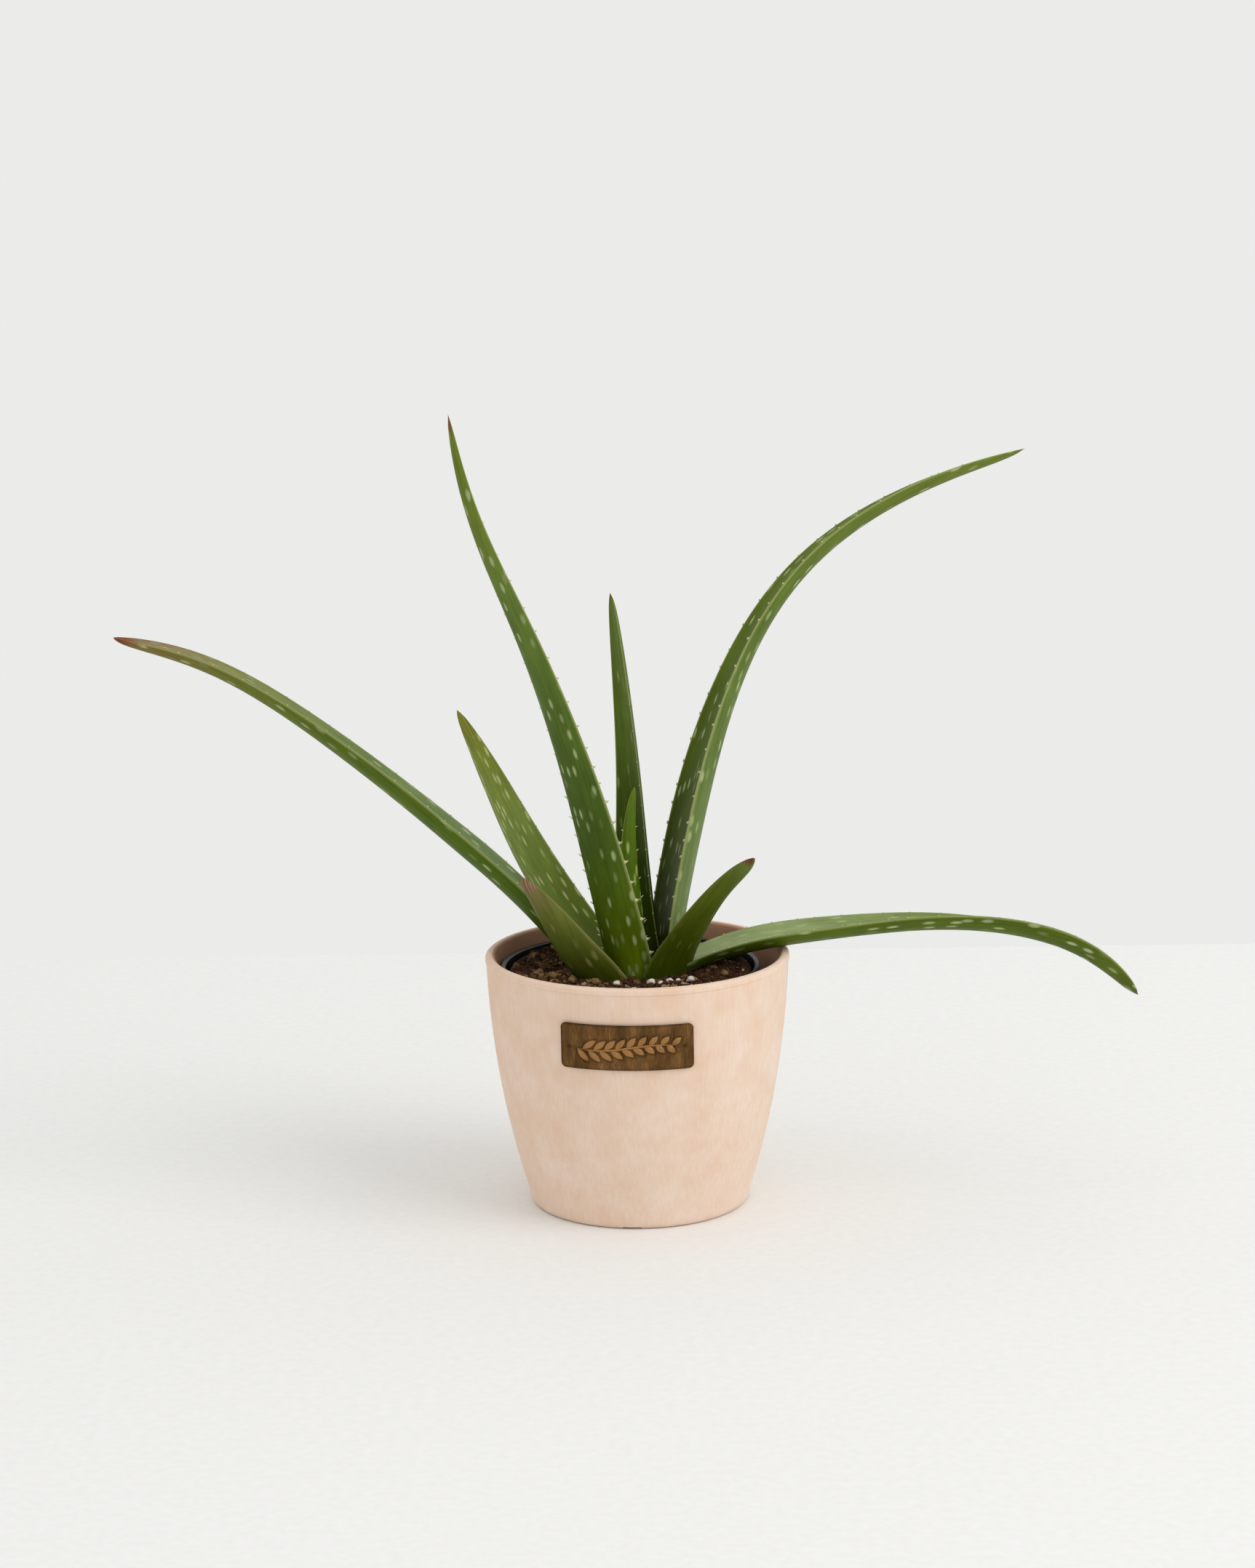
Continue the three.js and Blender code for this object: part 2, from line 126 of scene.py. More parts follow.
white_board, tree, shader = new_material("white_board")
place = add_node(tree, "ShaderNodeTexCoord")
paper_tooth = add_node(
    tree,
    "ShaderNodeTexNoise",
    {"Vector": place.outputs["Object"], "Scale": 1 / (4 * MM), "Detail": 3},
)
board_tone = add_node(
    tree,
    "ShaderNodeValToRGB",
    {"Fac": paper_tooth.outputs["Fac"]},
    stops=[(0.3, "#eeeeec"), (0.7, "#f2f2f1")],
)
tree.links.new(board_tone.outputs["Color"], shader.inputs["Base Color"])
shader.inputs["Roughness"].default_value = 0.9

board_behind = 0.43
bpy.ops.object.select_all(action="DESELECT")
bpy.ops.mesh.primitive_plane_add(size=6, location=(0, board_behind - 3, -0.0002))
floor = bpy.context.object
floor.name = "floor"
floor.data.materials.append(white_board)
floor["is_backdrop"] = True

world = bpy.context.scene.world or bpy.data.worlds.new("world")
bpy.context.scene.world = world
world.use_nodes = True
world.node_tree.nodes["Background"].inputs["Color"].default_value = linear("#f4f4f3")
world.node_tree.nodes["Background"].inputs["Strength"].default_value = 0.92
bpy.context.scene.view_settings.view_transform = "Standard"


def soft_light(name, place, aim, size, watts, colour):
    """A square area light that faces a point."""
    lamp = bpy.data.lights.new(name, "AREA")
    lamp.size = size
    lamp.energy = watts
    lamp.color = linear(colour)[:3]
    light = bpy.data.objects.new(name, lamp)
    bpy.context.scene.collection.objects.link(light)
    light.location = place
    light.rotation_euler = (Vector(aim) - Vector(place)).to_track_quat("-Z", "Y").to_euler()


soft_light("window", (2.3, -1.3, 2.1), (0, 0, 0.1), 2.2, 36, "#fffdfa")


# ---------------------------------------------------------------------------- cover pot
# The outer pot is cast in one piece from stone-filled plastic: matte peach, with a chalky
# bloom in upright streaks. It has a rounded lip over a faint step, a swelling wall, a
# small rounded heel, and four shallow notches under the foot.


def easy_curve(start, corner, end, count):
    """Points on a curve that leaves start towards corner and arrives at end from it."""
    line = []
    for i in range(count + 1):
        t = i / count
        line.append(
            tuple(
                (1 - t) ** 2 * a + 2 * t * (1 - t) * b + t * t * c
                for a, b, c in zip(start, corner, end)
            )
        )
    return line


def select_only(piece):
    """Selects one piece alone and makes it the active one."""
    bpy.ops.object.select_all(action="DESELECT")
    piece.select_set(True)
    bpy.context.view_layer.objects.active = piece


def join_into(main, pieces):
    """Joins pieces into the main one and returns it."""
    select_only(main)
    for piece in pieces:
        piece.select_set(True)
    bpy.ops.object.join()
    return main


def spun(name, outline, steps, middle):
    """A round piece: an outline of (radius, height) points spun about an upright axis."""
    bpy.ops.object.select_all(action="DESELECT")
    bpy.ops.mesh.primitive_plane_add(size=MM)
    piece = bpy.context.object
    piece.name = piece.data.name = name
    bpy.ops.object.mode_set(mode="EDIT")
    bpy.ops.mesh.select_all(action="SELECT")
    bpy.ops.mesh.merge(type="CENTER")
    radius, height = outline[0]
    bpy.ops.transform.translate(value=(middle.x + radius, middle.y, height))
    for (r0, z0), (r1, z1) in zip(outline, outline[1:]):
        bpy.ops.mesh.extrude_vertices_move(
            TRANSFORM_OT_translate={"value": (r1 - r0, 0, z1 - z0)}
        )
    bpy.ops.mesh.select_all(action="SELECT")
    bpy.ops.mesh.spin(
        steps=steps, angle=2 * math.pi, center=(middle.x, middle.y, 0), axis=(0, 0, 1)
    )
    bpy.ops.mesh.select_all(action="SELECT")
    bpy.ops.mesh.remove_doubles(threshold=0.01 * MM)
    bpy.ops.mesh.normals_make_consistent(inside=False)
    bpy.ops.object.mode_set(mode="OBJECT")
    return piece


def cut_away(piece, cutters):
    """Takes the cutters, joined in one object, out of a piece."""
    cut = piece.modifiers.new("cut", "BOOLEAN")
    cut.object = cutters
    cut.solver = "EXACT"
    select_only(piece)
    bpy.ops.object.modifier_apply(modifier=cut.name)
    bpy.data.objects.remove(cutters)


def finish_piece(piece, material, nodes, crisp=35):
    """Smooth shading with crisp corners, its finish, and the CAD nodes that it stands for."""
    select_only(piece)
    bpy.ops.object.transform_apply(location=True, rotation=True, scale=True)
    bpy.ops.object.shade_smooth_by_angle(angle=math.radians(crisp))
    piece.data.materials.clear()
    piece.data.materials.append(material)
    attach(piece, "root")
    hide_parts(*nodes)


def mixed(tree, share, under, over):
    """The colour that lies a share of the way from one to another."""
    inputs = {0: share, 6: under, 7: over}
    return add_node(tree, "ShaderNodeMix", inputs, data_type="RGBA").outputs[2]


def reckoned(tree, operation, *values):
    """The result of a sum on values and other nodes' output sockets."""
    inputs = dict(enumerate(values))
    return add_node(tree, "ShaderNodeMath", inputs, operation=operation).outputs["Value"]


def rescaled(tree, value, start, end, low=0, high=1):
    """A value that runs from low to high while the given one runs from start to end."""
    inputs = {"Value": value, "From Min": start, "From Max": end, "To Min": low, "To Max": high}
    return add_node(tree, "ShaderNodeMapRange", inputs).outputs["Result"]


chalky_composite, tree, shader = new_material("chalky_composite")
place = add_node(tree, "ShaderNodeTexCoord")
# Bloom runs in upright streaks about 1 mm wide and 10 mm long.
streak_place = add_node(
    tree,
    "ShaderNodeMapping",
    {"Vector": place.outputs["Object"], "Scale": (1 / (1 * MM), 1 / (1 * MM), 1 / (10 * MM))},
)
streaks = add_node(
    tree,
    "ShaderNodeTexNoise",
    {"Vector": streak_place.outputs["Vector"], "Scale": 1, "Detail": 5, "Roughness": 0.65},
)
# It gathers in patches about 18 mm across and is paler lower on the wall. Towards the right, where the window
# light falls, the same pale colour is a painted sheen.
patches = add_node(
    tree,
    "ShaderNodeTexNoise",
    {"Vector": place.outputs["Object"], "Scale": 1 / (18 * MM), "Detail": 5, "Roughness": 0.65},
)
height = add_node(tree, "ShaderNodeSeparateXYZ", {"Vector": place.outputs["Object"]})
lower = rescaled(tree, height.outputs["Z"], 100 * MM, 20 * MM, 0, 0.16)
# Painted sheen: the pale chalk colour is laid on more thickly towards the right, where the window light
# falls.
painted_sheen_right = rescaled(tree, height.outputs["X"], 10 * MM, 55 * MM, 0, 0.2)
lower_and_sheen_right = reckoned(tree, "ADD", lower, painted_sheen_right)
patchy_bloom_and_sheen = reckoned(tree, "ADD", patches.outputs["Fac"], lower_and_sheen_right)
streaked = reckoned(tree, "MULTIPLY", patchy_bloom_and_sheen, streaks.outputs["Fac"])
bloom_and_sheen = rescaled(tree, streaked, 0.2, 0.54, 0, 0.52)
body_tone = add_node(
    tree,
    "ShaderNodeValToRGB",
    {"Fac": patches.outputs["Fac"]},
    stops=[(0.3, "#e4c3a9"), (0.5, "#e6c8b1"), (0.72, "#e9cdb9")],
)
# The pale chalk colour stands both for the real bloom and for the painted sheen on the right.
chalk_and_sheen_tone = mixed(tree, bloom_and_sheen, body_tone.outputs["Color"], linear("#eee2d6"))
# The inside has no bloom, and is painted a darker, browner tone for the shade inside the pot.
inside = add_node(tree, "ShaderNodeAttribute", attribute_name="inside")
pot_tone = mixed(tree, inside.outputs["Fac"], chalk_and_sheen_tone, linear("#c39076"))
# Fine stone grit, drawn at 0.5 mm so that it just shows.
grit = add_node(
    tree,
    "ShaderNodeTexNoise",
    {"Vector": place.outputs["Object"], "Scale": 1 / (0.5 * MM), "Detail": 2},
)
grit_bump = add_node(
    tree,
    "ShaderNodeBump",
    {"Height": grit.outputs["Fac"], "Strength": 0.25, "Distance": 0.15 * MM},
)
tree.links.new(pot_tone, shader.inputs["Base Color"])
tree.links.new(grit_bump.outputs["Normal"], shader.inputs["Normal"])
shader.inputs["Roughness"].default_value = 0.78
shader.inputs["IOR"].default_value = 1.5

pot_low, pot_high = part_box("cover_pot")
pot_top = pot_high.z
pot_rim = pot_high.x
pot_wall = 4 * MM
pot_floor = 6 * MM
lip_band = 3 * MM
lip_step = 0.35 * MM
lip_rounding = 1.4 * MM
foot_radius = 44.5 * MM
heel_radius = 47.3 * MM
heel_height = 5 * MM
belly = (62 * MM, 52 * MM)
cove = 4 * MM
front_degrees = -94.5

wall_line = easy_curve((heel_radius, heel_height), belly, (pot_rim - lip_step, pot_top - lip_band), 18)
heel_line = easy_curve((foot_radius, 0), (heel_radius - 0.5 * MM, 0), wall_line[0], 5)
lip_line = [
    (
        pot_rim - pot_wall / 2 + pot_wall / 2 * math.cos(turn * math.pi / 10),
        pot_top - lip_rounding + lip_rounding * math.sin(turn * math.pi / 10),
    )
    for turn in range(11)
]
inner_line = [(r - pot_wall, z) for r, z in reversed(wall_line) if z > pot_floor + cove]
inner_edge = inner_line[-1]
cove_line = easy_curve(
    inner_edge,
    (inner_edge[0] - 0.6 * MM, pot_floor),
    (inner_edge[0] - cove, pot_floor),
    4,
)
cover_pot = spun(
    "cover_pot_cast",
    [(0, 0), *heel_line, *wall_line[1:], (pot_rim, pot_top - lip_band + 0.3 * MM)]
    + [*lip_line, *inner_line, *cove_line[1:], (0, pot_floor)],
    128,
    Vector((0, 0, 0)),
)

notches = []
for i in range(4):
    turn = math.radians(front_degrees + 90 * i)
    bpy.ops.object.select_all(action="DESELECT")
    bpy.ops.mesh.primitive_cube_add(size=1, scale=(20 * MM, 8 * MM, 1.6 * MM))
    bpy.ops.object.mode_set(mode="EDIT")
    bpy.ops.mesh.bevel(offset=0.3 * MM, segments=2)
    bpy.ops.object.mode_set(mode="OBJECT")
    notch = bpy.context.object
    notch.location = (heel_radius * math.cos(turn), heel_radius * math.sin(turn), 0)
    notch.rotation_euler.z = turn
    notches.append(notch)
cut_away(cover_pot, join_into(notches[-1], notches))
finish_piece(cover_pot, chalky_composite, ["cover_pot"])
# Marks the inner wall, where the material paints the shade inside the pot.
inner_radius = pot_rim - pot_wall * 0.7
facing_in = []
for vertex in cover_pot.data.vertices:
    above_floor = vertex.co.z > pot_floor * 0.9 and vertex.co.xy.length < inner_radius
    facing_in.append(float(above_floor and vertex.normal.xy.dot(vertex.co.xy) <= 0))
cover_pot.data.attributes.new("inside", "FLOAT", "POINT").data.foreach_set("value", facing_in)


# ------------------------------------------------------------------ plate and its pad
# A thin stamped brass plate, antiqued and brushed upright, bent to the wall and held by a
# foam pad behind it. Its face carries a plain leafy sprig in low relief.


def cover_node(node, material):
    """Gives a CAD solid its material and returns it."""
    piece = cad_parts[node]
    piece.data.materials.clear()
    piece.data.materials.append(material)
    return piece


foam, tree, shader = new_material("foam_tape")
place = add_node(tree, "ShaderNodeTexCoord")
cells = add_node(
    tree,
    "ShaderNodeTexVoronoi",
    {"Vector": place.outputs["Object"], "Scale": 1 / (0.4 * MM)},
)
foam_tone = add_node(
    tree,
    "ShaderNodeValToRGB",
    {"Fac": cells.outputs["Distance"]},
    stops=[(0.0, "#c9c6be"), (0.6, "#dedbd4")],
)
tree.links.new(foam_tone.outputs["Color"], shader.inputs["Base Color"])
shader.inputs["Roughness"].default_value = 0.9
cover_node("plate_pad", foam)

antique_brass, tree, shader = new_material("antique_brushed_brass")
place = add_node(tree, "ShaderNodeTexCoord")
brush_place = add_node(
    tree,
    "ShaderNodeMapping",
    {"Vector": place.outputs["Object"], "Scale": (1 / (0.35 * MM), 1 / (0.35 * MM), 1 / (12 * MM))},
)
brushing = add_node(
    tree,
    "ShaderNodeTexNoise",
    {"Vector": brush_place.outputs["Vector"], "Scale": 1, "Detail": 4, "Roughness": 0.7},
)
stain_place = add_node(
    tree,
    "ShaderNodeMapping",
    {"Vector": place.outputs["Object"], "Scale": (1 / (5 * MM), 1 / (5 * MM), 1 / (18 * MM))},
)
stain = add_node(
    tree,
    "ShaderNodeTexNoise",
    {"Vector": stain_place.outputs["Vector"], "Scale": 1, "Detail": 3},
)
worn = add_node(tree, "ShaderNodeAttribute", attribute_name="worn")
patina = reckoned(tree, "ADD", brushing.outputs["Fac"], stain.outputs["Fac"])
patina_worn = reckoned(tree, "MULTIPLY_ADD", worn.outputs["Fac"], 0.55, patina)
brass_tone = add_node(
    tree,
    "ShaderNodeValToRGB",
    {"Fac": rescaled(tree, patina_worn, 0.45, 1.75)},
    stops=[(0.0, "#2c1d0c"), (0.42, "#674a2b"), (0.85, "#a67a4b")],
)
brass_scratch = add_node(
    tree,
    "ShaderNodeBump",
    {"Height": brushing.outputs["Fac"], "Strength": 0.35, "Distance": 0.1 * MM},
)
tree.links.new(brass_tone.outputs["Color"], shader.inputs["Base Color"])
tree.links.new(brass_scratch.outputs["Normal"], shader.inputs["Normal"])
shader.inputs["Metallic"].default_value = 1
shader.inputs["Roughness"].default_value = 0.42

plate_low, plate_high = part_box("brass_plate")
plate_middle = (plate_low.z + plate_high.z) / 2
plate_width = 53.5 * MM
plate_height = plate_high.z - plate_low.z
plate_thickness = 1 * MM
plate_gap = 1.5 * MM
front_turn = math.radians(front_degrees)


def wall_radius(z):
    """Radius of the pot's outside at a height."""
    for (r0, z0), (r1, z1) in zip(wall_line, wall_line[1:]):
        if z0 <= z <= z1:
            return r0 + (r1 - r0) * (z - z0) / (z1 - z0)
    return pot_rim


def bend_to_wall(piece, stand_off):
    """Wraps a piece lying in the XZ plane round the pot's front; -Y is away from the wall."""
    for vertex in piece.data.vertices:
        across, depth, up = vertex.co
        z = plate_middle + up
        radius = wall_radius(z) + stand_off - depth
        turn = front_turn + math.asin(across / wall_radius(z))
        vertex.co = (radius * math.cos(turn), radius * math.sin(turn), z)


bpy.ops.object.select_all(action="DESELECT")
bpy.ops.mesh.primitive_grid_add(
    x_subdivisions=88, y_subdivisions=32, size=1, rotation=(math.pi / 2, 0, 0)
)
plate = bpy.context.object
plate.name = plate.data.name = "brass_plate_stamped"
plate.scale = (plate_width, plate_height, 1)
bpy.ops.object.transform_apply(location=True, rotation=True, scale=True)
corner = 2 * MM
half_width, half_height = plate_width / 2, plate_height / 2
for vertex in plate.data.vertices:
    x, y, z = vertex.co
    over_x = max(abs(x) - (half_width - corner), 0) / corner
    over_z = max(abs(z) - (half_height - corner), 0) / corner
    if over_x and over_z:
        pull = max(over_x, over_z) / math.hypot(over_x, over_z)
        x = math.copysign(half_width - corner + over_x * pull * corner, x)
        z = math.copysign(half_height - corner + over_z * pull * corner, z)
        vertex.co = (x, y, z)
thick = plate.modifiers.new("thick", "SOLIDIFY")
thick.thickness = plate_thickness
thick.offset = -1
edge = plate.modifiers.new("edge", "BEVEL")
edge.width = 0.3 * MM
edge.segments = 3
edge.angle_limit = math.radians(50)
bpy.ops.object.modifier_apply(modifier=thick.name)
bpy.ops.object.modifier_apply(modifier=edge.name)
wear = plate.data.attributes.new("worn", "FLOAT", "POINT")


def pointed_oval(length, width, rise, turn, place):
    """A pointed oval in relief on the plate, its length turned up from the X axis."""
    bpy.ops.object.select_all(action="DESELECT")
    bpy.ops.mesh.primitive_uv_sphere_add(segments=14, ring_count=20, radius=1)
    piece = bpy.context.object
    for vertex in piece.data.vertices:
        x, y, z = vertex.co
        slim = math.sqrt(max(1 - z * z, 0))
        vertex.co = (z * length / 2, y * slim * rise, x * slim * width / 2)
    piece.data.transform(Matrix.Translation(place) @ Matrix.Rotation(-turn, 4, "Y"))
    return piece


# The sprig is a waved stem with leaflets in pairs that shorten towards its end.
def stem_height(x):
    """Height of the stem's middle line on the plate."""
    return 1.3 * MM * math.sin(x / (8 * MM))


sprig = [pointed_oval(47 * MM, 1.1 * MM, 0.45 * MM, 0, (0, 0, 0))]
for vertex in sprig[0].data.vertices:
    vertex.co.z += stem_height(vertex.co.x)
for i in range(9):
    start = -20 * MM + i * 4.5 * MM
    length = 7.4 * MM - i * 0.3 * MM
    slope = math.atan((stem_height(start + 1 * MM) - stem_height(start)) / (1 * MM))
    for side in (-1, 1):
        turn = slope + side * math.radians(42)
        place = (
            start + (side + 1) * 1 * MM + math.cos(turn) * length / 2,
            0,
            stem_height(start + (side + 1) * 1 * MM) + math.sin(turn) * length / 2,
        )
        sprig.append(pointed_oval(length, 2.7 * MM, 0.5 * MM, turn, place))
sprig = join_into(sprig[0], sprig)

# Its tops are rubbed bright, and dark patina stays in the corner round it.
near_sprig = kdtree.KDTree(len(sprig.data.vertices))
for vertex in sprig.data.vertices:
    near_sprig.insert((vertex.co.x, 0, vertex.co.z), vertex.index)
near_sprig.balance()
for vertex in plate.data.vertices:
    _, _, gap = near_sprig.find((vertex.co.x, 0, vertex.co.z))
    over_edge = min(half_width - abs(vertex.co.x), half_height - abs(vertex.co.z))
    dark = max(0.7 * (1 - gap / (0.9 * MM)), 0.6 * (1 - over_edge / (0.8 * MM)), 0)
    wear.data[vertex.index].value = -dark
rubbed = [min(max(-v.co.y / (0.3 * MM), 0), 1) for v in sprig.data.vertices]
sprig.data.attributes.new("worn", "FLOAT", "POINT").data.foreach_set("value", rubbed)
join_into(plate, [sprig])
bend_to_wall(plate, plate_gap)
finish_piece(plate, antique_brass, ["brass_plate"], 50)


# -------------------------------------------------------------------------- nursery pot
# The growing pot is thin black polypropylene, blow-moulded with a rolled rim, a wider
# collar and drain holes. It stands inside the cover pot and shows as a dark ring.

black_plastic, tree, shader = new_material("black_polypropylene")
place = add_node(tree, "ShaderNodeTexCoord")
scuffs = add_node(
    tree,
    "ShaderNodeTexNoise",
    {"Vector": place.outputs["Object"], "Scale": 1 / (3 * MM), "Detail": 5, "Roughness": 0.7},
)
black_tone = add_node(
    tree,
    "ShaderNodeValToRGB",
    {"Fac": scuffs.outputs["Fac"]},
    stops=[(0.35, "#16171a"), (0.75, "#2b2d32")],
)
black_gloss = rescaled(tree, scuffs.outputs["Fac"], 0, 1, 0.28, 0.5)
tree.links.new(black_tone.outputs["Color"], shader.inputs["Base Color"])
tree.links.new(black_gloss, shader.inputs["Roughness"])
shader.inputs["IOR"].default_value = 1.49

liner_low, liner_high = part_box("nursery_pot")
liner_middle = (liner_low + liner_high) / 2
liner_rim = (liner_high.x - liner_low.x) / 2
liner_top = liner_high.z
liner_base = liner_low.z
liner_wall = 1 * MM
collar_radius = liner_rim - 1.2 * MM
collar_bottom = liner_top - 9 * MM
body_radius = collar_radius - 1.2 * MM
base_radius = body_radius - 15 * MM
nursery_pot = spun(
    "nursery_pot_moulded",
    [
        (0, liner_base),
        (base_radius - 1 * MM, liner_base),
        (base_radius, liner_base + 2 * MM),
        (body_radius, collar_bottom),
        (collar_radius, collar_bottom + 0.4 * MM),
        (collar_radius, liner_top - 1.8 * MM),
        (liner_rim - 0.4 * MM, liner_top - 1.6 * MM),
        (liner_rim, liner_top - 1.2 * MM),
        (liner_rim, liner_top - 0.5 * MM),
        (liner_rim - 0.5 * MM, liner_top),
        (collar_radius - liner_wall + 0.4 * MM, liner_top),
        (collar_radius - liner_wall, liner_top - 0.4 * MM),
        (collar_radius - liner_wall, collar_bottom + 1.6 * MM),
        (body_radius - liner_wall, collar_bottom - 0.4 * MM),
        (base_radius - liner_wall, liner_base + 2.2 * MM),
        (base_radius - liner_wall - 1 * MM, liner_base + 1.2 * MM),
        (0, liner_base + 1.2 * MM),
    ],
    112,
    liner_middle,
)
drains = []
for i in range(6):
    turn = math.radians(60 * i)
    reach = base_radius - 8 * MM
    bpy.ops.object.select_all(action="DESELECT")
    bpy.ops.mesh.primitive_cylinder_add(
        vertices=24,
        radius=4 * MM,
        depth=5 * MM,
        location=liner_middle.xy.to_3d()
        + Vector((reach * math.cos(turn), reach * math.sin(turn), liner_base)),
    )
    drains.append(bpy.context.object)
cut_away(nursery_pot, join_into(drains[-1], drains))
finish_piece(nursery_pot, black_plastic, ["nursery_pot"], 40)


# --------------------------------------------------------------------- stem and roots
# The short woody stem and its few thick roots are one growth, buried in the mix.

root_bark, tree, shader = new_material("root_bark")
place = add_node(tree, "ShaderNodeTexCoord")
fibres = add_node(
    tree,
    "ShaderNodeTexNoise",
    {"Vector": place.outputs["Object"], "Scale": 1 / (1.2 * MM), "Detail": 5, "Roughness": 0.7},
)
bark_tone = add_node(
    tree,
    "ShaderNodeValToRGB",
    {"Fac": fibres.outputs["Fac"]},
    stops=[(0.3, "#7d5f3c"), (0.7, "#b5966a")],
)
tree.links.new(bark_tone.outputs["Color"], shader.inputs["Base Color"])
shader.inputs["Roughness"].default_value = 0.85
cover_node("rootstock", root_bark)


# --------------------------------------------------------------------------------- soil
# The pot is filled with a damp peat mix. Its surface is a loose layer of peat crumbs,
# bark bits, tan pumice and a little white perlite, dished a little below the pot's wall.

potting_mix, tree, shader = new_material("damp_potting_mix")
place = add_node(tree, "ShaderNodeTexCoord")
kind = add_node(tree, "ShaderNodeAttribute", attribute_name="kind")
mottle = add_node(
    tree,
    "ShaderNodeTexNoise",
    {"Vector": place.outputs["Object"], "Scale": 1 / (0.9 * MM), "Detail": 5, "Roughness": 0.75},
)
peat_tone = add_node(
    tree,
    "ShaderNodeValToRGB",
    {"Fac": mottle.outputs["Fac"]},
    stops=[(0.3, "#1e1008"), (0.52, "#3f2514"), (0.72, "#684228")],
)
# Crumb kinds run from peat (0) through bark and tan pumice to white perlite (1).
kind_tone = add_node(
    tree,
    "ShaderNodeValToRGB",
    {"Fac": kind.outputs["Fac"]},
    stops=[
        (0.0, "#24140a"),
        (0.3, "#5c3a20"),
        (0.55, "#7b5a34"),
        (0.8, "#9c7f54"),
        (1.0, "#e6dfd2"),
    ],
)
kind_share = rescaled(tree, kind.outputs["Fac"], 0.1, 0.5, 0, 0.8)
crumb_tone = mixed(tree, kind_share, peat_tone.outputs["Color"], kind_tone.outputs["Color"])
mix_bump = add_node(
    tree,
    "ShaderNodeBump",
    {"Height": mottle.outputs["Fac"], "Strength": 0.8, "Distance": 0.5 * MM},
)
tree.links.new(crumb_tone, shader.inputs["Base Color"])
tree.links.new(mix_bump.outputs["Normal"], shader.inputs["Normal"])
shader.inputs["Roughness"].default_value = 0.9
shader.inputs["Specular IOR Level"].default_value = 0.25
soil = cover_node("soil", potting_mix)

soil_low, soil_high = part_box("soil")
soil_middle = (soil_low + soil_high) / 2
soil_radius = (soil_high.x - soil_low.x) / 2
crown = Vector((1 * MM, 11 * MM, soil_high.z - 5 * MM))
chance = random.Random(11)


def rough_lump(name, detail, roughness, seed):
    """A small irregular lump, 2 across, as a mesh to copy."""
    bpy.ops.object.select_all(action="DESELECT")
    bpy.ops.mesh.primitive_ico_sphere_add(subdivisions=detail, radius=1)
    lump = bpy.context.object
    lump.name = lump.data.name = name
    for vertex in lump.data.vertices:
        swell = noise.noise(vertex.co * 1.7 + Vector((seed, 0, 0)))
        vertex.co *= 1 + roughness * swell
    return lump


def scattered(name, lumps, spots):
    """One mesh of many copies: each spot is (which lump, place matrix, kind)."""
    points, faces, kinds = [], [], []
    for which, matrix, kind_value in spots:
        first = len(points)
        points += [matrix @ v.co for v in lumps[which].data.vertices]
        faces += [[first + i for i in p.vertices] for p in lumps[which].data.polygons]
        kinds += [kind_value] * len(lumps[which].data.vertices)
    mesh = bpy.data.meshes.new(name)
    mesh.from_pydata(points, [], faces)
    mesh.attributes.new("kind", "FLOAT", "POINT").data.foreach_set("value", kinds)
    piece = bpy.data.objects.new(name, mesh)
    bpy.context.scene.collection.objects.link(piece)
    return piece


lumps = [rough_lump(f"crumb_{i}", 2, 0.9, 3.1 * i) for i in range(4)]
lumps += [rough_lump(f"speck_{i}", 1, 0.5, 5.7 * i) for i in range(3)]


def on_soil(x, y):
    """Height of the soil under a spot, or nothing where a leaf base stands."""
    hit, point, _, _ = soil.ray_cast(Vector((x, y, soil_high.z + 10 * MM)), Vector((0, 0, -1)))
    return point.z if hit and point.z > soil_high.z - 4.6 * MM else None


# Sizes across in mm: (how many, least, most, lumps to draw from, share of tan grit).
layers = [
    (1500, 0.7, 1.6, (4, 5, 6), 0.12),
    (880, 1.6, 3.2, (0, 1, 2, 3), 0.27),
    (120, 2.8, 4.6, (0, 1, 2, 3), 0.4),
]
spots = []
for count, least, most, which, grit_share in layers:
    for _ in range(count):
        reach = soil_radius * math.sqrt(chance.random()) * 0.975
        turn = chance.uniform(0, 2 * math.pi)
        x = soil_middle.x + reach * math.cos(turn)
        y = soil_middle.y + reach * math.sin(turn)
        size = chance.uniform(least, most) * MM / 2
        stretch = (chance.uniform(0.8, 1.4), chance.uniform(0.7, 1.1), chance.uniform(0.55, 0.85))
        tilt = [chance.uniform(-0.5, 0.5), chance.uniform(-0.5, 0.5), chance.uniform(0, 6.28)]
        pick = chance.choice(which)
        gritty = chance.random() < grit_share * (1.5 if x < crown.x else 0.6)
        kind_value = chance.uniform(0.4, 0.85) if gritty else chance.uniform(0, 0.38)
        if chance.random() < 0.012:
            kind_value = 1.0
        ground = on_soil(x, y)
        if ground is None or reach + size * 1.5 > soil_radius:
            continue
        matrix = Matrix.LocRotScale(
            Vector((x, y, ground + size * chance.uniform(-0.1, 0.5))),
            Vector((0, 0, 1)).rotation_difference(Vector((tilt[0], tilt[1], 1)))
            @ Matrix.Rotation(tilt[2], 3, "Z").to_quaternion(),
            Vector(stretch) * size,
        )
        spots.append((pick, matrix, kind_value))
crumbs = scattered("soil_crumbs", lumps, spots)
for lump in lumps:
    bpy.data.objects.remove(lump)
crumbs.data.materials.append(potting_mix)
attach(crumbs, "root")


# ------------------------------------------------------------------------- loose grains
# Larger grains lie on the mix: foamed white perlite in front of the plant and tan pumice
# to its left. Both are light, dry and full of small pores.


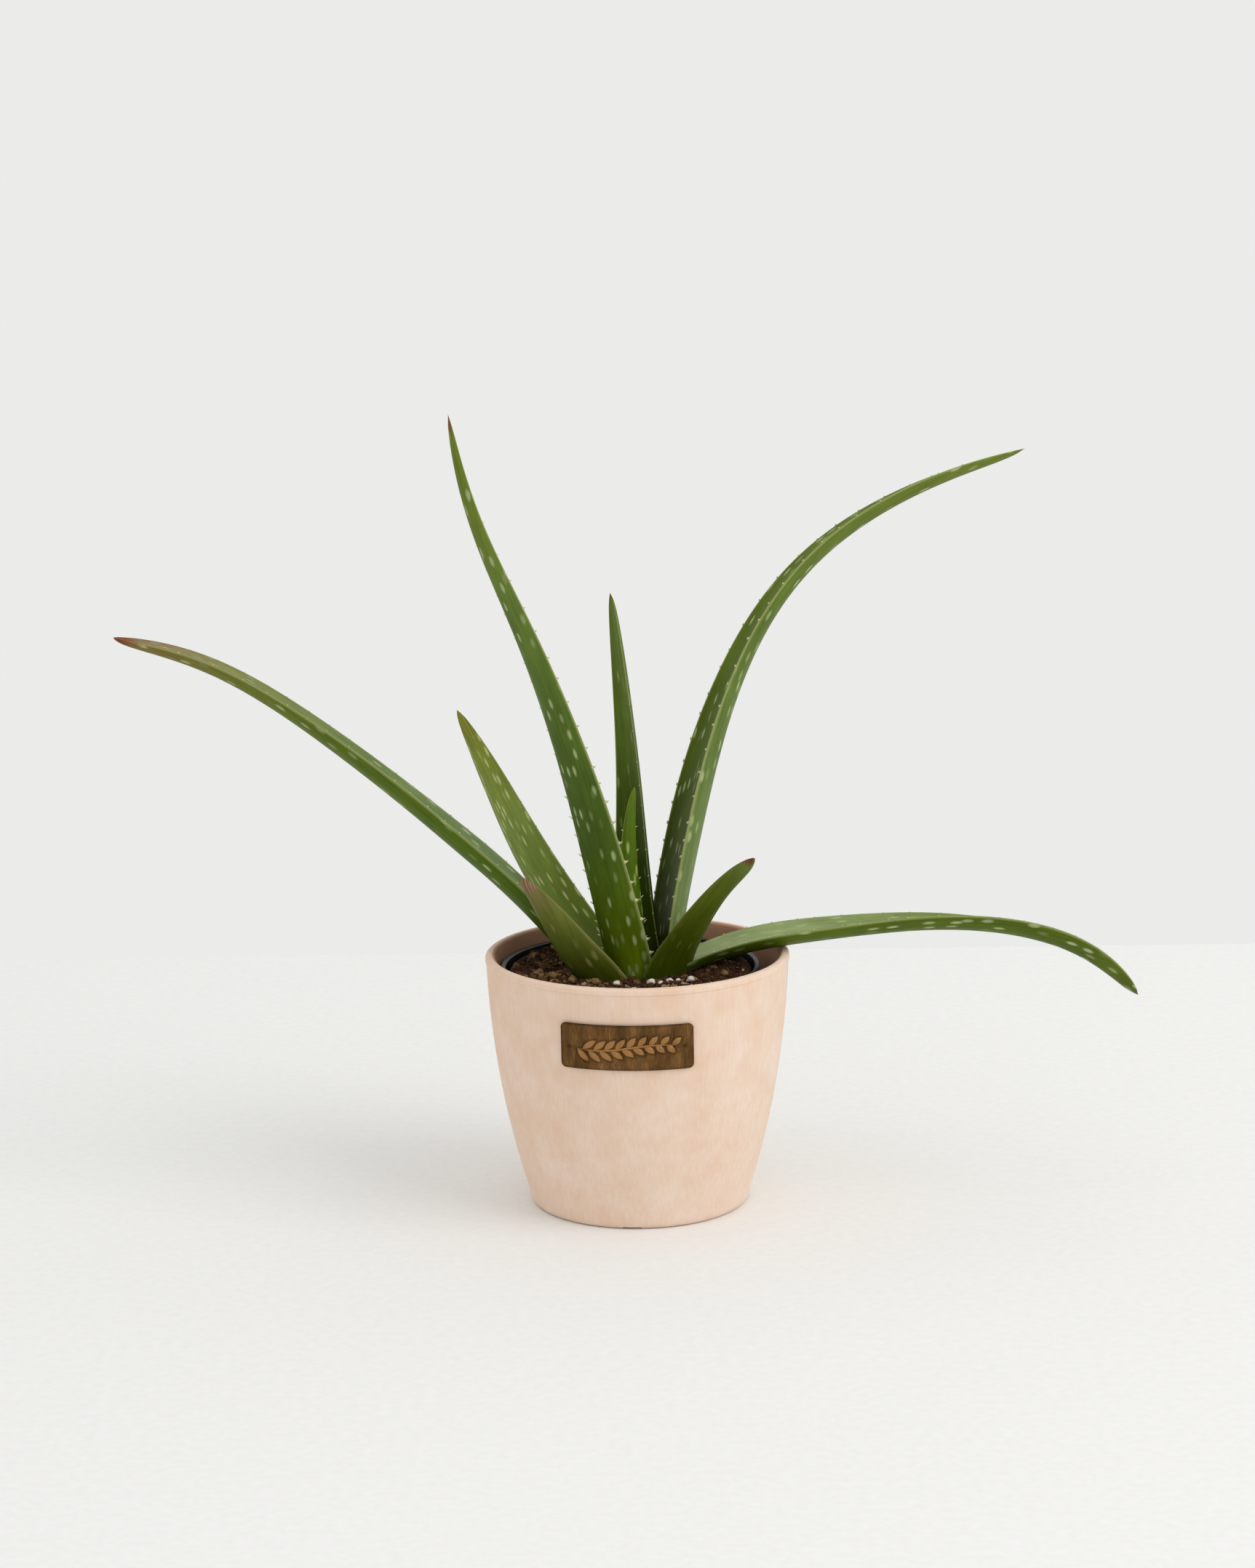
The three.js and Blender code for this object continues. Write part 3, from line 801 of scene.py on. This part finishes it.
def grain_material(name, dark, light, pore):
    """Dry porous mineral, with pores of a size in mm."""
    material, tree, shader = new_material(name)
    place = add_node(tree, "ShaderNodeTexCoord")
    pores = add_node(
        tree,
        "ShaderNodeTexVoronoi",
        {"Vector": place.outputs["Object"], "Scale": 1 / (pore * MM)},
    )
    tone = add_node(
        tree,
        "ShaderNodeValToRGB",
        {"Fac": pores.outputs["Distance"]},
        stops=[(0.0, dark), (0.45, light)],
    )
    bump = add_node(
        tree,
        "ShaderNodeBump",
        {"Height": pores.outputs["Distance"], "Strength": 0.7, "Distance": 0.3 * MM},
    )
    tree.links.new(tone.outputs["Color"], shader.inputs["Base Color"])
    tree.links.new(bump.outputs["Normal"], shader.inputs["Normal"])
    shader.inputs["Roughness"].default_value = 0.9
    return material


grain_skins = {
    "perlite": grain_material("foamed_perlite", "#a89a8a", "#e9e1d6", 0.6),
    "pumice": grain_material("tan_pumice", "#3f2a17", "#80613c", 0.7),
}


def merged_copy(node, name):
    """A copy of a CAD node with its loose triangles joined up."""
    piece = bpy.data.objects.new(name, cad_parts[node].data.copy())
    bpy.context.scene.collection.objects.link(piece)
    select_only(piece)
    bpy.ops.object.mode_set(mode="EDIT")
    bpy.ops.mesh.select_all(action="SELECT")
    bpy.ops.mesh.remove_doubles(threshold=0.001 * MM)
    bpy.ops.object.mode_set(mode="OBJECT")
    return piece


for grain in sorted(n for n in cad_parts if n.startswith(("perlite_", "pumice_"))):
    kind_name = grain.split("_")[0]
    piece = merged_copy(grain, grain + "_grain")
    rounding = piece.modifiers.new("rounding", "SUBSURF")
    rounding.levels = rounding.render_levels = 2
    bpy.ops.object.modifier_apply(modifier=rounding.name)
    for vertex in piece.data.vertices:
        vertex.co += vertex.normal * 0.35 * MM * noise.noise(vertex.co / (1.3 * MM))
    finish_piece(piece, grain_skins[kind_name], [grain], 180)


# ------------------------------------------------------------------------------- leaves
# Nine thick leaves clasp the stem. Each has a rounded outer face and a hollowed inner one,
# meeting in thin horny margins set with small teeth. The skin is waxed and green, with
# pale oval flecks along it; older leaves are dried brown at the tip.

ring_points = 12
half_ring = ring_points // 2


def ordered_ring(ring):
    """A closed ring of leaf points in order: margin, outer face, margin, inner face."""
    loop = [min(ring, key=lambda v: v.index)]
    while len(loop) < ring_points:
        beside = [edge.other_vert(loop[-1]) for edge in loop[-1].link_edges]
        loop.append(next(v for v in beside if v in ring and v not in loop))
    return loop


def leaf_rings(node):
    """The tip of a CAD leaf, and its rings of points from the tip down, as far as they are
    whole. Each starts at the margin on the leaf's right, seen from inside, tip up."""
    bm = bmesh.new()
    bm.from_mesh(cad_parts[node].data)
    bmesh.ops.remove_doubles(bm, verts=bm.verts, dist=0.001 * MM)
    bm.verts.index_update()
    poles = [v for v in bm.verts if len(v.link_edges) == ring_points]
    tip = max(poles, key=lambda v: (v.co - crown).length)
    seen, rings, above = {tip}, [], tip.co
    ring = {edge.other_vert(tip) for edge in tip.link_edges}
    while len(ring) == ring_points:
        if any(sum(e.other_vert(v) in ring for e in v.link_edges) != 2 for v in ring):
            break
        if rings and any(len(v.link_edges) != 6 for v in ring):
            break
        points = [v.co.copy() for v in ordered_ring(ring)]
        start = max(range(half_ring), key=lambda i: (points[i] - points[i + half_ring]).length)
        points = points[start:] + points[:start]
        middle = (points[0] + points[half_ring]) / 2
        one = sum(points[1:half_ring], Vector()) / (half_ring - 1) - middle
        other = sum(points[half_ring + 1 :], Vector()) / (half_ring - 1) - middle
        outward = one if one.length > other.length else other
        if outward is other:
            points = [points[0]] + points[:0:-1]
        upward = above - middle
        if (points[half_ring] - points[0]).dot(upward.cross(outward)) < 0:
            points = points[half_ring::-1] + points[:half_ring:-1]
        rings.append(points)
        seen |= ring
        above = middle
        ring = {e.other_vert(v) for v in ring for e in v.link_edges} - seen
    near = [v.co.copy() for v in bm.verts if (v.co.xy - crown.xy).length < 20 * MM]
    low = min(p.z for p in near)
    foot = [p for p in near if p.z < low + 7 * MM]
    foot = sum(foot, Vector()) / len(foot)
    tip_place = tip.co.copy()
    bm.free()
    return tip_place, rings, foot


def with_base(rings, foot, flare):
    """The rings carried on down into the soil, widening to flare times as wide."""
    centres = [(r[0] + r[half_ring]) / 2 for r in rings[-2:]]
    start = centres[1]
    heading = (centres[1] - centres[0]).normalized()
    reach = (foot - start).length
    corner = start + heading * reach * 0.5
    count = max(2, round(reach / (9 * MM)))
    line = [Vector(p) for p in easy_curve(start, corner, foot, count)]
    more = []
    for i in range(1, count + 1):
        turned = heading.rotation_difference((line[i] - line[i - 1]).normalized())
        swell = 1 + (flare - 1) * i / count
        more.append([line[i] + turned @ (p - start) * swell for p in rings[-1]])
    return rings + more


def fuller(rings):
    """The rings with the outer face a little further out, as rounding the mesh draws it in."""
    for ring in rings:
        middle = (ring[0] + ring[half_ring]) / 2
        chord = (ring[half_ring] - ring[0]).normalized()
        for j in range(1, half_ring):
            out = ring[j] - middle
            ring[j] += 0.07 * (out - chord * out.dot(chord))
    return rings


def leaf_mesh(name, tip, rings, blunt):
    """A closed leaf through the rings. It carries how far along and across each point is,
    which face it is on, and a UV map of metres across and along."""
    rings = rings[::-1]
    centres = [(r[0] + r[half_ring]) / 2 for r in rings] + [tip]
    reach = [0.0]
    for a, b in zip(centres, centres[1:]):
        reach.append(reach[-1] + (b - a).length)
    points = [p for ring in rings for p in ring] + [centres[0], tip]
    foot_at, tip_at = len(points) - 2, len(points) - 1
    faces = []
    for i in range(len(rings) - 1):
        for j in range(ring_points):
            a, b = i * ring_points + j, i * ring_points + (j + 1) % ring_points
            faces.append([a, b, b + ring_points, a + ring_points])
    last = (len(rings) - 1) * ring_points
    for j in range(ring_points):
        faces.append([last + j, last + (j + 1) % ring_points, tip_at])
        faces.append([(j + 1) % ring_points, j, foot_at])
    mesh = bpy.data.meshes.new(name)
    mesh.from_pydata(points, [], faces)
    shares = [-math.cos(math.pi * j / half_ring) for j in range(half_ring + 1)]
    across = (shares + shares[-2:0:-1]) * len(rings) + [0, 0]
    along = [reach[i] / reach[-1] for i in range(len(rings)) for _ in range(ring_points)] + [0, 1]
    inner = ([0.5] + [0] * (half_ring - 1) + [0.5] + [1] * (half_ring - 1)) * len(rings)
    inner += [0.5, 0.5]
    for title, values in (("across", across), ("along", along), ("inner", inner)):
        mesh.attributes.new(title, "FLOAT", "POINT").data.foreach_set("value", values)
    widths = [(r[half_ring] - r[0]).length for r in rings] + [0]
    levels = [i for i in range(len(rings)) for _ in range(ring_points)] + [0, len(rings)]
    uv = mesh.uv_layers.new(name="blade")
    for face in mesh.polygons:
        on_inner = sum(inner[i] for i in face.vertices) / len(face.vertices) > 0.5
        for loop_at, i in zip(face.loop_indices, face.vertices):
            uv.data[loop_at].uv = (
                across[i] * widths[levels[i]] / 2 + (40 * MM if on_inner else 0),
                reach[levels[i]],
            )
    piece = bpy.data.objects.new(name, mesh)
    bpy.context.scene.collection.objects.link(piece)
    bm = bmesh.new()
    bm.from_mesh(mesh)
    bm.verts.ensure_lookup_table()
    bmesh.ops.recalc_face_normals(bm, faces=bm.faces)
    sharp_edge = bm.edges.layers.float.new("crease_edge")
    sharp_point = bm.verts.layers.float.new("crease_vert")
    bm.verts[tip_at][sharp_point] = 0 if blunt else 1
    for edge in bm.edges:
        a, b = (v.index for v in edge.verts)
        lengthwise = abs(a - b) == ring_points and max(a, b) < foot_at
        if lengthwise and a % half_ring == 0 and b % half_ring == 0:
            edge[sharp_edge] = 0.85
    bm.to_mesh(mesh)
    bm.free()
    return piece


def tooth():
    """One marginal tooth, 1 high along Z and hooked towards +X, as a mesh to copy."""
    bpy.ops.object.select_all(action="DESELECT")
    bpy.ops.mesh.primitive_cone_add(
        vertices=6, radius1=0.5, radius2=0.12, depth=1, location=(0, 0, 0.5)
    )
    piece = bpy.context.object
    bpy.ops.object.transform_apply(location=True)
    bpy.ops.object.mode_set(mode="EDIT")
    bpy.ops.mesh.select_all(action="SELECT")
    bpy.ops.mesh.bisect(plane_co=(0, 0, 0.5), plane_no=(0, 0, 1))
    bpy.ops.object.mode_set(mode="OBJECT")
    for vertex in piece.data.vertices:
        vertex.co.x += 0.45 * vertex.co.z**2
        if 0.4 < vertex.co.z < 0.6:
            vertex.co.y *= 0.7
            vertex.co.x = 0.12 + (vertex.co.x - 0.11) * 0.75
    return piece


tooth_pattern = tooth()


def toothed(tip, rings, first, gap, height, until):
    """Sets teeth along both margins, from first metres above the soil, gap metres apart."""
    rings = rings[::-1]
    points, faces = [], []
    for side in (0, half_ring):
        line = [r[side] for r in rings] + [tip]
        middle = [(r[0] + r[half_ring]) / 2 for r in rings] + [tip]
        lengths = [(b - a).length for a, b in zip(line, line[1:])]
        total = sum(lengths)
        at = first * chance.uniform(0.8, 1.3)
        while at < total * until:
            left, i = at, 0
            while left > lengths[i]:
                left -= lengths[i]
                i += 1
            share = left / lengths[i]
            place = line[i].lerp(line[i + 1], share)
            forward = (line[i + 1] - line[i]).normalized()
            out = place - middle[i].lerp(middle[i + 1], share)
            out = (out - forward * out.dot(forward)).normalized()
            thick = out.cross(forward)
            fade = 1 - 0.6 * at / total
            tall = height * fade * chance.uniform(0.8, 1.2)
            matrix = Matrix.Translation(place - out * 0.35 * MM) @ (
                Matrix((forward, thick, out)).transposed().to_4x4()
                @ Matrix.Diagonal((tall * 1.15, 0.75 * tall, tall + 0.35 * MM, 1))
            )
            start = len(points)
            points += [matrix @ v.co for v in tooth_pattern.data.vertices]
            faces += [[start + k for k in p.vertices] for p in tooth_pattern.data.polygons]
            at += gap * chance.uniform(0.75, 1.25) * (1 + 0.7 * at / total)
    mesh = bpy.data.meshes.new("teeth")
    mesh.from_pydata(points, [], faces)
    teeth = bpy.data.objects.new("teeth", mesh)
    bpy.context.scene.collection.objects.link(teeth)
    return teeth


def horn(name, low, high):
    """Dry horny teeth: pale, with darker random clouds."""
    material, tree, shader = new_material(name)
    place = add_node(tree, "ShaderNodeTexCoord")
    cloud = add_node(
        tree,
        "ShaderNodeTexNoise",
        {"Vector": place.outputs["Object"], "Scale": 1 / (2 * MM), "Detail": 2},
    )
    tone = add_node(
        tree,
        "ShaderNodeValToRGB",
        {"Fac": cloud.outputs["Fac"]},
        stops=[(0.35, low), (0.65, high)],
    )
    tree.links.new(tone.outputs["Color"], shader.inputs["Base Color"])
    shader.inputs["Roughness"].default_value = 0.5
    return material


def leaf_skin(
    name,
    outer,
    hollow,
    flecks,
    fleck_colour,
    dried,
    dried_colours=("#5a3a1e", "#8a5f3a"),
    margin="#a3ab6d",
):
    """Waxed leaf skin. outer and hollow are the (place, colour) stops of its two faces from
    base to tip, flecks the share of the skin that is flecked, and dried where the dead tip
    starts."""
    material, tree, shader = new_material(name)
    blade = add_node(tree, "ShaderNodeUVMap", uv_map="blade")
    along = add_node(tree, "ShaderNodeAttribute", attribute_name="along")
    across = add_node(tree, "ShaderNodeAttribute", attribute_name="across")
    inner = add_node(tree, "ShaderNodeAttribute", attribute_name="inner")
    outer_tone = add_node(tree, "ShaderNodeValToRGB", {"Fac": along.outputs["Fac"]}, stops=outer)
    hollow_tone = add_node(tree, "ShaderNodeValToRGB", {"Fac": along.outputs["Fac"]}, stops=hollow)
    which_face = rescaled(tree, inner.outputs["Fac"], 0.44, 0.56)
    face_tone = mixed(tree, which_face, outer_tone.outputs["Color"], hollow_tone.outputs["Color"])
    # Fine veins run the length of the leaf, drawn 0.7 mm apart, with clouds 7 by 22 mm.
    vein_place = add_node(
        tree,
        "ShaderNodeMapping",
        {"Vector": blade.outputs["UV"], "Scale": (1 / (0.7 * MM), 1 / (40 * MM), 1)},
    )
    veins = add_node(
        tree, "ShaderNodeTexNoise", {"Vector": vein_place.outputs["Vector"], "Scale": 1, "Detail": 3}
    )
    cloud_place = add_node(
        tree,
        "ShaderNodeMapping",
        {"Vector": blade.outputs["UV"], "Scale": (1 / (7 * MM), 1 / (22 * MM), 1)},
    )
    clouds = add_node(
        tree, "ShaderNodeTexNoise", {"Vector": cloud_place.outputs["Vector"], "Scale": 1, "Detail": 4}
    )
    shade = reckoned(tree, "ADD", veins.outputs["Fac"], clouds.outputs["Fac"])
    brightness = rescaled(tree, shade, 0.7, 1.3, 0.78, 1.22)
    varied = add_node(tree, "ShaderNodeHueSaturation", {"Color": face_tone, "Value": brightness})
    # Pale oval flecks, about 1.1 by 4.5 mm, in loose rows.
    fleck_place = add_node(
        tree,
        "ShaderNodeMapping",
        {"Vector": blade.outputs["UV"], "Scale": (1 / (2.8 * MM), 1 / (11 * MM), 1)},
    )
    fleck_cells = add_node(
        tree,
        "ShaderNodeTexVoronoi",
        {"Vector": fleck_place.outputs["Vector"], "Scale": 1},
        voronoi_dimensions="2D",
    )
    fleck_shape = rescaled(tree, fleck_cells.outputs["Distance"], 0.29, 0.13)
    fleck_luck = add_node(tree, "ShaderNodeSeparateColor", {"Color": fleck_cells.outputs["Color"]})
    rarest = 1 - flecks
    fleck_here = rescaled(tree, fleck_luck.outputs["Red"], rarest, rarest + 0.35, 0, 0.85)
    fleck_mask = reckoned(tree, "MULTIPLY", fleck_shape, fleck_here)
    flecked = mixed(tree, fleck_mask, varied.outputs["Color"], linear(fleck_colour))
    # The horny margin shows as a pale thread.
    rim_distance = reckoned(tree, "ABSOLUTE", across.outputs["Fac"])
    rim = rescaled(tree, rim_distance, 0.93, 0.995, 0, 0.85)
    edged = mixed(tree, rim, flecked, linear(margin))
    # The dead tip starts unevenly.
    ragged = reckoned(tree, "MULTIPLY_ADD", clouds.outputs["Fac"], 0.08, along.outputs["Fac"])
    dead = rescaled(tree, ragged, dried + 0.035, dried + 0.06)
    dried_tone = add_node(
        tree,
        "ShaderNodeValToRGB",
        {"Fac": veins.outputs["Fac"]},
        stops=[(0.35, dried_colours[0]), (0.65, dried_colours[1])],
    )
    skin = mixed(tree, dead, edged, dried_tone.outputs["Color"])
    dullness = rescaled(tree, dead, 0, 1, 0.45, 0.75)
    relief = add_node(
        tree,
        "ShaderNodeBump",
        {"Height": shade, "Strength": 0.25, "Distance": 0.3 * MM},
    )
    tree.links.new(skin, shader.inputs["Base Color"])
    tree.links.new(dullness, shader.inputs["Roughness"])
    tree.links.new(relief.outputs["Normal"], shader.inputs["Normal"])
    shader.inputs["IOR"].default_value = 1.42
    shader.inputs["Specular IOR Level"].default_value = 0.1
    return material


pale_horn = horn("pale_horn", "#b9bd86", "#dcdcae")
red_horn = horn("reddish_horn", "#a5683f", "#cf9a72")

tall_tones = [
    (0.0, "#667d06"),
    (0.1, "#54690a"),
    (0.26, "#415618"),
    (0.5, "#4e6424"),
    (0.7, "#5f7330"),
    (0.93, "#68772a"),
]
leaf_looks = {
    "leaf_heart": dict(
        slot="young_leaf",
        tooth=1.4,
        horn=pale_horn,
        skin=dict(
            outer=[(0.0, "#587606"), (0.3, "#526f12"), (1.0, "#5c7420")],
            hollow=[(0.0, "#64830a"), (0.3, "#5a7816"), (1.0, "#647c24")],
            flecks=0.85,
            fleck_colour="#bcc87a",
            dried=1.0,
        ),
    ),
    "leaf_upright": dict(
        slot="leaf_blade",
        tooth=0.6,
        horn=pale_horn,
        skin=dict(
            outer=[(0.0, "#44560a"), (0.3, "#394b0e"), (0.6, "#57691e"), (1.0, "#5e7024")],
            hollow=[(0.0, "#36440a"), (0.3, "#33440a"), (0.6, "#556820"), (1.0, "#5c6e22")],
            flecks=0.3,
            fleck_colour="#93a060",
            dried=0.985,
        ),
    ),
    "leaf_arching": dict(
        slot="leaf_blade",
        flare=0.95,
        tooth=1.3,
        horn=pale_horn,
        skin=dict(
            # The outer face's pale base is a painted sheen, and the hollow face's dark base is painted shade.
            outer=[(0.0, "#869a64"), (0.25, "#64783c"), (0.5, "#5c702a"), (0.95, "#68782c")],
            hollow=[(0.0, "#384800"), (0.25, "#4a5c02"), (0.6, "#586c0e"), (0.95, "#647424")],
            flecks=0.45,
            fleck_colour="#a9b581",
            dried=0.985,
        ),
    ),
    "leaf_tall": dict(
        slot="leaf_blade",
        tooth=1.8,
        horn=pale_horn,
        skin=dict(
            outer=tall_tones,
            hollow=tall_tones,
            flecks=0.6,
            fleck_colour="#9dab7a",
            dried=0.975,
        ),
    ),
    "leaf_short_left": dict(
        slot="pale_leaf",
        tooth=0.7,
        horn=red_horn,
        skin=dict(
            outer=[(0.0, "#526210"), (0.3, "#5e701f"), (0.7, "#75873a"), (1.0, "#6c7230")],
            hollow=[
                (0.0, "#4e6014"),
                (0.3, "#5e7022"),
                (0.6, "#72843a"),
                (0.88, "#6c7424"),
                (1.0, "#5c5a1c"),
            ],
            flecks=0.7,
            fleck_colour="#b0b87c",
            dried=0.9,
            dried_colours=("#5c6016", "#808436"),
        ),
    ),
    "leaf_long_left": dict(
        slot="leaf_blade",
        blunt=True,
        tooth=0.8,
        horn=pale_horn,
        skin=dict(
            outer=[(0.0, "#3c5002"), (0.3, "#4a6208"), (0.6, "#566a16"), (0.8, "#696f28"), (0.95, "#7c6a34")],
            # The hollow face's paler grey-green is a painted sheen on the face turned up to the light.
            hollow=[
                (0.0, "#54683a"),
                (0.3, "#6a7d50"),
                (0.6, "#6a7c42"),
                (0.8, "#7c7e44"),
                (0.95, "#866f44"),
            ],
            flecks=0.4,
            fleck_colour="#a7b184",
            dried=0.953,
            dried_colours=("#6b4026", "#8f5f3e"),
        ),
    ),
    "leaf_low_right": dict(
        slot="leaf_blade",
        flare=0.85,
        tooth=0.7,
        horn=pale_horn,
        skin=dict(
            outer=[(0.0, "#42540a"), (0.3, "#4f630e"), (0.7, "#4f6216"), (0.97, "#54641f")],
            # The hollow face's pale base is a painted highlight where the light falls on the upper face.
            hollow=[(0.0, "#9aa978"), (0.3, "#8d9d66"), (0.6, "#6c8030"), (0.97, "#5f7222")],
            flecks=0.5,
            fleck_colour="#aab584",
            dried=0.985,
        ),
    ),
    "leaf_short_right": dict(
        slot="dark_leaf",
        blunt=True,
        flare=1.2,
        tooth=0.5,
        horn=red_horn,
        skin=dict(
            outer=[(0.0, "#364400"), (0.4, "#4c5a0c"), (0.75, "#56641c"), (1.0, "#5c6a2a")],
            hollow=[(0.0, "#3c4c08"), (1.0, "#5c6a2a")],
            flecks=0.45,
            fleck_colour="#6c7a34",
            dried=0.972,
            dried_colours=("#472a1a", "#704830"),
            margin="#6f7538",
        ),
    ),
    "leaf_wilted": dict(
        slot="wilted_leaf",
        tooth=0.5,
        horn=red_horn,
        skin=dict(
            outer=[(0.0, "#3a4400"), (0.3, "#4c5812"), (0.7, "#66702e"), (1.0, "#7a6c46")],
            hollow=[(0.0, "#4f5c1c"), (1.0, "#7a6c46")],
            flecks=0.35,
            fleck_colour="#8a8450",
            dried=0.9,
            dried_colours=("#6e5236", "#9a8262"),
            margin="#87814e",
        ),
    ),
}
first_tooth = 14 * MM
tooth_gap = 8 * MM
toothed_share = 0.9
for node, look in leaf_looks.items():
    tip, rings, foot = leaf_rings(node)
    rings = fuller(with_base(rings, foot, look.get("flare", 1.0)))
    piece = leaf_mesh(node + "_blade", tip, rings, look.get("blunt", False))
    select_only(piece)
    rounding = piece.modifiers.new("rounding", "SUBSURF")
    rounding.levels = rounding.render_levels = 2
    bpy.ops.object.modifier_apply(modifier=rounding.name)
    finish_piece(piece, leaf_skin(node + "_skin", **look["skin"]), [node], 180)
    teeth = toothed(tip, rings, first_tooth, tooth_gap, look["tooth"] * MM, toothed_share)
    piece.data.materials.append(look["horn"])
    teeth.data.materials.append(look["horn"])
    join_into(piece, [teeth])
bpy.data.objects.remove(tooth_pattern)


# ---------------------------------------------------------------------------- size note
# The size of the CAD model and of the finished one, for comparison.

size = {"cad": [list(c) for c in cad_box], "visual": [list(c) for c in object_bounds()]}
